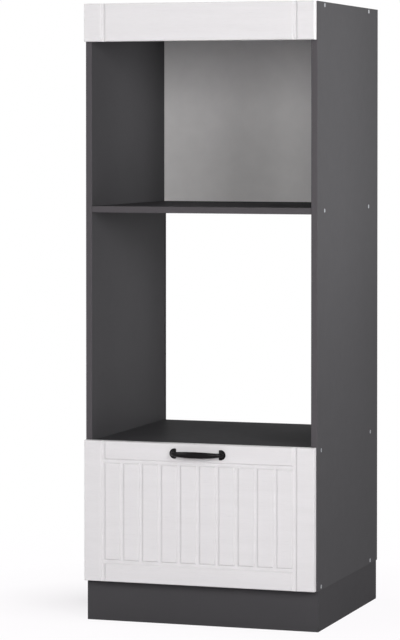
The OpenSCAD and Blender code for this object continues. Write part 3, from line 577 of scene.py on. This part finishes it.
def cast_lacquer(name):
    """Satin black lacquer over a cast surface."""
    finish, tree, shader = blank_finish(name)
    place = on_piece(tree)
    peel = clouds(tree, place, CAST_GRAIN, 3.0)
    rub = spread(tree, clouds(tree, place, RUBBED_PATCHES, 4.0, 0.6), *RUBBED_RANGE)
    tree.links.new(blend_colours(tree, rub, CAST_BLACK, CAST_WORN), shader.inputs["Base Color"])
    tree.links.new(spread(tree, peel, *SOFT, *CAST_ROUGH), shader.inputs["Roughness"])
    tree.links.new(relief(tree, peel, *CAST_RELIEF), shader.inputs["Normal"])
    shader.inputs["Specular IOR Level"].default_value = CAST_SHINE
    return finish


def grip_middle(turn, reach):
    """The middle line of the bow at a turn from 0 to 180 degrees: across, and out from the front."""
    across = -HANDLE_PITCH / 2 * math.copysign(abs(math.cos(turn)) ** BOW_ACROSS, math.cos(turn))
    out = (reach - GRIP_THICKNESS / 2) * math.sin(turn) ** BOW_OUT
    return across, out


def bead(end, at, width):
    """1 on a bead of the bow, fading to 0 beside it."""
    return math.exp(-(((end - at) / width) ** 2))


def grip_ring(turn, reach):
    """One ring of points round the bow, which is tallest in its middle and beaded at its ends."""
    end = abs(math.cos(turn))
    beads = sum(size * bead(end, at, width) for at, width, size in BEADS)
    half_height = GRIP_END_HEIGHT / 2 + BEAD_RISE * beads
    half_height += (GRIP_MIDDLE_HEIGHT - GRIP_END_HEIGHT) / 2 * math.sin(turn) ** GRIP_SWELL
    half_thick = GRIP_THICKNESS / 2 + GRIP_THICKER_END * end ** 4 + BEAD_OUT * beads
    across, out = grip_middle(turn, reach)
    step = math.radians(0.5)
    before = grip_middle(turn - step, reach)
    after = grip_middle(turn + step, reach)
    run = Vector((after[0] - before[0], after[1] - before[1])).normalized()
    ring = []
    for side in range(GRIP_SIDES):
        angle = 2 * math.pi * side / GRIP_SIDES
        thick = half_thick * math.cos(angle)
        ring.append((across - run.y * thick, out + run.x * thick, half_height * math.sin(angle)))
    return ring


def shell_reach(angle):
    """From the middle of a shell to its edge: round, and cut straight towards the grip."""
    toward = math.cos(angle)
    if toward <= 0:
        return SHELL_RADIUS
    straight = SHELL_CUT / toward
    return (SHELL_RADIUS ** -SHELL_CORNER + straight ** -SHELL_CORNER) ** (-1 / SHELL_CORNER)


def ramp(value, start, length):
    """0 before the start, 1 after the length, and even between."""
    return min(1.0, max(0.0, (value - start) / length))


def shell_height(share, angle):
    """Height of a shell over the front: a dome with flutes that fan out, and a raised rim."""
    dome = SHELL_HEIGHT - SHELL_FALL * share ** 2
    fan = ramp(-math.cos(angle), FAN_START, FAN_DEEPENS)
    flute = 0.5 - 0.5 * math.cos(2 * FLUTES * (angle - math.pi / 2))
    fade = ramp(share, FLUTE_START, FLUTE_DEEPENS) * ramp(-share, -FLUTE_END, FLUTE_SHALLOWS)
    rim = RIM_RISE * bead(share, RIM_PLACE, RIM_WIDTH)
    return dome - FLUTE_DEPTH * fan * fade * flute + rim


def skin(cut, rings):
    """Adds the faces between each ring of points and the next."""
    points = len(rings[0])
    for k in range(points):
        nxt = (k + 1) % points
        for inner, outer in zip(rings, rings[1:]):
            cut.faces.new((inner[k], outer[k], outer[nxt], inner[nxt]))


def shell_mesh(cut, place, side):
    """Adds one shell, with its edge and its neck, to the handle. Side is -1 at the left."""
    shell = []
    for number in range(1, SHELL_RINGS + 1):
        share = number / SHELL_RINGS
        ring = []
        for k in range(SHELL_SIDES):
            angle = 2 * math.pi * k / SHELL_SIDES
            radius = shell_reach(angle) * share
            across = side * (HANDLE_PITCH / 2 - SHELL_SHIFT - radius * math.cos(angle))
            out = shell_height(share, angle)
            ring.append(cut.verts.new(place(across, out, radius * math.sin(angle))))
        shell.append(ring)
    foot = [cut.verts.new((v.co.x, place(0, 0, 0)[1], v.co.z)) for v in shell[-1]]
    shell.append(foot)
    middle = cut.verts.new(place(side * (HANDLE_PITCH / 2 - SHELL_SHIFT), SHELL_HEIGHT, 0.0))
    for k in range(SHELL_SIDES):
        cut.faces.new((middle, shell[0][k], shell[0][(k + 1) % SHELL_SIDES]))
    skin(cut, shell)
    cut.faces.new(foot)

    neck = []
    for radius, out in NECK_PROFILE:
        ring = []
        for k in range(GRIP_SIDES):
            angle = 2 * math.pi * k / GRIP_SIDES
            across = side * (HANDLE_PITCH / 2) + radius * math.cos(angle)
            ring.append(cut.verts.new(place(across, out, radius * math.sin(angle))))
        neck.append(ring)
    skin(cut, neck)
    cut.faces.new(neck[0])
    cut.faces.new(neck[-1])


def cast_handle():
    """The whole handle as one casting."""
    low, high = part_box("handle")
    height = (low.z + high.z) / 2
    reach = high.y - low.y

    def place(across, out, up):
        return (across, high.y - out, height + up)

    cut = bmesh.new()
    bow = []
    sweep = 180.0 - 2 * BOW_END_DEGREES
    for number in range(GRIP_RINGS + 1):
        turn = math.radians(BOW_END_DEGREES + sweep * number / GRIP_RINGS)
        bow.append([cut.verts.new(place(*point)) for point in grip_ring(turn, reach)])
    skin(cut, bow)
    cut.faces.new(bow[0])
    cut.faces.new(bow[-1])
    for side in (-1, 1):
        shell_mesh(cut, place, side)
    bmesh.ops.recalc_face_normals(cut, faces=cut.faces)
    mesh = bpy.data.meshes.new("cast_handle")
    cut.to_mesh(mesh)
    cut.free()
    mesh.shade_smooth()
    mesh.set_sharp_from_angle(angle=CREASE_ANGLE)
    mesh.materials.append(cast_lacquer("black_cast_lacquer"))
    handle = bpy.data.objects.new("cast_handle", mesh)
    bpy.context.scene.collection.objects.link(handle)
    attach(handle, "drawer")
    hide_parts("handle")


cast_handle()
dress("handle_screws", zinc_screws)


# ---------- top trim ----------
# A low milled front of the same fibreboard and white film as the drawer front.
# Two zinc plated angles, screwed to the side panels and to its back, carry it.

dress("top_trim", white_film)
dress("trim_brackets", zinc_angles)
dress("trim_bracket_screws", zinc_screws)


# ---------- studio ----------
# A pale floor that fades into white, with a shadow painted on it left of the plinth, large soft lamps,
# a weak one in each niche, and a long lens from the front right. A lamp's line holds its name, place,
# target, width, height and power.

IMAGE_HEIGHT = 640
CAMERA_PLACE = (2.25545, -6.96710, 1.22470)
CAMERA_YAW = math.radians(18.578)
CAMERA_PITCH = math.radians(-1.2450)
FOCAL_PIXELS = 2882.74
SHIFT_DOWN = -0.20
FLOOR_GREY = (0.88, 0.855, 0.88, 1.0)
FLOOR_PALE = (0.90, 0.88, 0.90, 1.0)
COVER_NEAR = (1.0, 0.986, 1.0, 1.0)
COVER_WHITE = (1.0, 1.0, 1.0, 1.0)
COVER_STARTS = 0.45
COVER_ENDS = 0.95
COVER_SHARE = 0.93
# Painted shadow: a darker pool on the floor left of the plinth, where the white cover is thinned.
PAINTED_SHADOW_MIDDLE = (-0.36, 0.03, 0.0)
PAINTED_SHADOW_CORE = 0.03
PAINTED_SHADOW_REACH = 0.35
PAINTED_SHADOW_CURVE = 0.6
PAINTED_SHADOW_COVER = 0.66
FLOOR_GRAIN = 40.0
FLOOR_SIZE = 60.0
FLOOR_ROUGH = 0.9
WHITE_BETWEEN = (0.6, 1.8)
WORLD_STRENGTH = 0.17
CABINET_MIDDLE = (0.0, 0.0, 0.85)
LAMPS = (
    ("key", (3.18, -3.18, 1.81), CABINET_MIDDLE, 1.6, 1.6, 98.0),
    ("front", (1.16, -4.35, 1.81), CABINET_MIDDLE, 1.6, 1.6, 64.0),
    ("left", (-2.89, -3.45, 1.81), CABINET_MIDDLE, 1.6, 1.6, 46.0),
    ("left_side", (-3.2, 0.9, 2.0), (0.0, 0.1, 0.8), 1.6, 1.6, 45.0),
    ("overhead", (0.2, 0.1, 4.0), (0.0, 0.0, 0.9), 2.0, 2.0, 40.0),
    ("side_strip", (0.86, -0.12, 1.24), (0.30, -0.12, 1.24), 0.3, 1.3, 3.7),
    ("rear_right", (1.15, 2.3, 1.35), (0.3, 0.0, 1.0), 1.2, 1.2, 5.5),
)
NICHE_FILLS = (
    ("microwave_niche_fill", (0.265, 0.20, 1.28), (-0.28, -0.04, 1.28), 0.04, 0.36, 0.38),
    ("oven_niche_fill", (0.265, 0.20, 0.73), (-0.28, -0.04, 0.73), 0.04, 0.44, 0.24),
)
FILL_SPREAD = math.radians(80)


def seen_by_eye(tree):
    """1 for what the camera sees straight, in a gloss or through glass, else 0."""
    path = add(tree, "ShaderNodeLightPath")
    seen = sums(tree, "MAXIMUM", path.outputs["Is Camera Ray"], path.outputs["Is Glossy Ray"])
    return sums(tree, "MAXIMUM", seen, path.outputs["Is Transmission Ray"])


def studio_floor():
    """A wide floor that keeps the soft shadow near the object, carries a painted shadow left of the
    plinth, and is white further out.
    """
    finish, tree, shader = blank_finish("studio_floor")
    place = on_piece(tree)
    grain = clouds(tree, place, FLOOR_GRAIN)
    colour = blend_colours(tree, grain, FLOOR_GREY, FLOOR_PALE)
    tree.links.new(colour, shader.inputs["Base Color"])
    shader.inputs["Roughness"].default_value = FLOOR_ROUGH
    shader.inputs["Specular IOR Level"].default_value = 0.0
    output = tree.nodes["Material Output"]
    away = add(tree, "ShaderNodeVectorMath", {0: place}, operation="LENGTH").outputs["Value"]
    cover = blend_colours(tree, spread(tree, away, *WHITE_BETWEEN), COVER_NEAR, COVER_WHITE)
    white = add(tree, "ShaderNodeEmission", {"Color": cover, "Strength": 1.0})
    near = spread(tree, away, COVER_STARTS, COVER_ENDS, COVER_SHARE, 1.0)
    # Painted shadow: round this point the white cover thins, so the floor shows darker there whatever the
    # lamps do.
    painted_shadow_distance = add(tree, "ShaderNodeVectorMath", {0: place, 1: PAINTED_SHADOW_MIDDLE}, operation="DISTANCE")
    painted_shadow = spread(tree, painted_shadow_distance.outputs["Value"], PAINTED_SHADOW_CORE, PAINTED_SHADOW_REACH)
    painted_shadow = sums(tree, "POWER", painted_shadow, PAINTED_SHADOW_CURVE)
    painted_shadow = sums(tree, "MULTIPLY_ADD", painted_shadow, 1.0 - PAINTED_SHADOW_COVER, PAINTED_SHADOW_COVER)
    share = sums(tree, "MULTIPLY", sums(tree, "MULTIPLY", near, painted_shadow), seen_by_eye(tree))
    mixed = add(tree, "ShaderNodeMixShader", {0: share, 1: shader.outputs[0], 2: white.outputs[0]})
    tree.links.new(mixed.outputs[0], output.inputs["Surface"])
    half = FLOOR_SIZE / 2
    mesh = bpy.data.meshes.new("studio_floor")
    corners = [(-half, -half, 0.0), (half, -half, 0.0), (half, half, 0.0), (-half, half, 0.0)]
    mesh.from_pydata(corners, [], [(0, 1, 2, 3)])
    mesh.materials.append(finish)
    floor = bpy.data.objects.new("studio_floor", mesh)
    bpy.context.scene.collection.objects.link(floor)


def soft_lamp(name, place, target, width, height, power):
    """A soft lamp that faces its target."""
    data = bpy.data.lights.new(name, "AREA")
    data.shape = "RECTANGLE"
    data.size = width
    data.size_y = height
    data.energy = power
    lamp = bpy.data.objects.new(name, data)
    lamp.location = place
    lamp.rotation_euler = (Vector(target) - Vector(place)).to_track_quat("-Z", "Y").to_euler()
    lamp.visible_camera = False
    bpy.context.scene.collection.objects.link(lamp)
    return lamp


def studio_world(strength):
    """Even light from all round, which the camera and glossy surfaces see as white."""
    world = bpy.data.worlds.new("studio_world")
    world.use_nodes = True
    tree = world.node_tree
    soft = tree.nodes["Background"]
    soft.inputs["Color"].default_value = COVER_WHITE
    soft.inputs["Strength"].default_value = strength
    white = add(tree, "ShaderNodeBackground", {"Color": COVER_WHITE, "Strength": 1.0})
    mixed = add(tree, "ShaderNodeMixShader",
                {0: seen_by_eye(tree), 1: soft.outputs[0], 2: white.outputs[0]})
    tree.links.new(mixed.outputs[0], tree.nodes["World Output"].inputs["Surface"])
    bpy.context.scene.world = world


def studio_camera():
    """The camera at the photograph's place: nearly level, with its frame shifted down."""
    data = bpy.data.cameras.new("studio_camera")
    data.sensor_width = 36.0
    data.lens = FOCAL_PIXELS * data.sensor_width / IMAGE_HEIGHT
    data.shift_y = SHIFT_DOWN
    data.clip_end = 200.0
    camera = bpy.data.objects.new("studio_camera", data)
    camera.location = CAMERA_PLACE
    camera.rotation_euler = (math.pi / 2 + CAMERA_PITCH, 0.0, CAMERA_YAW)
    bpy.context.scene.collection.objects.link(camera)
    bpy.context.scene.camera = camera


studio_floor()
studio_world(WORLD_STRENGTH)
for lamp_line in LAMPS:
    soft_lamp(*lamp_line)
for fill_line in NICHE_FILLS:
    fill = soft_lamp(*fill_line)
    fill.data.spread = FILL_SPREAD
    fill.visible_glossy = False
studio_camera()
bpy.context.scene.view_settings.view_transform = "Standard"
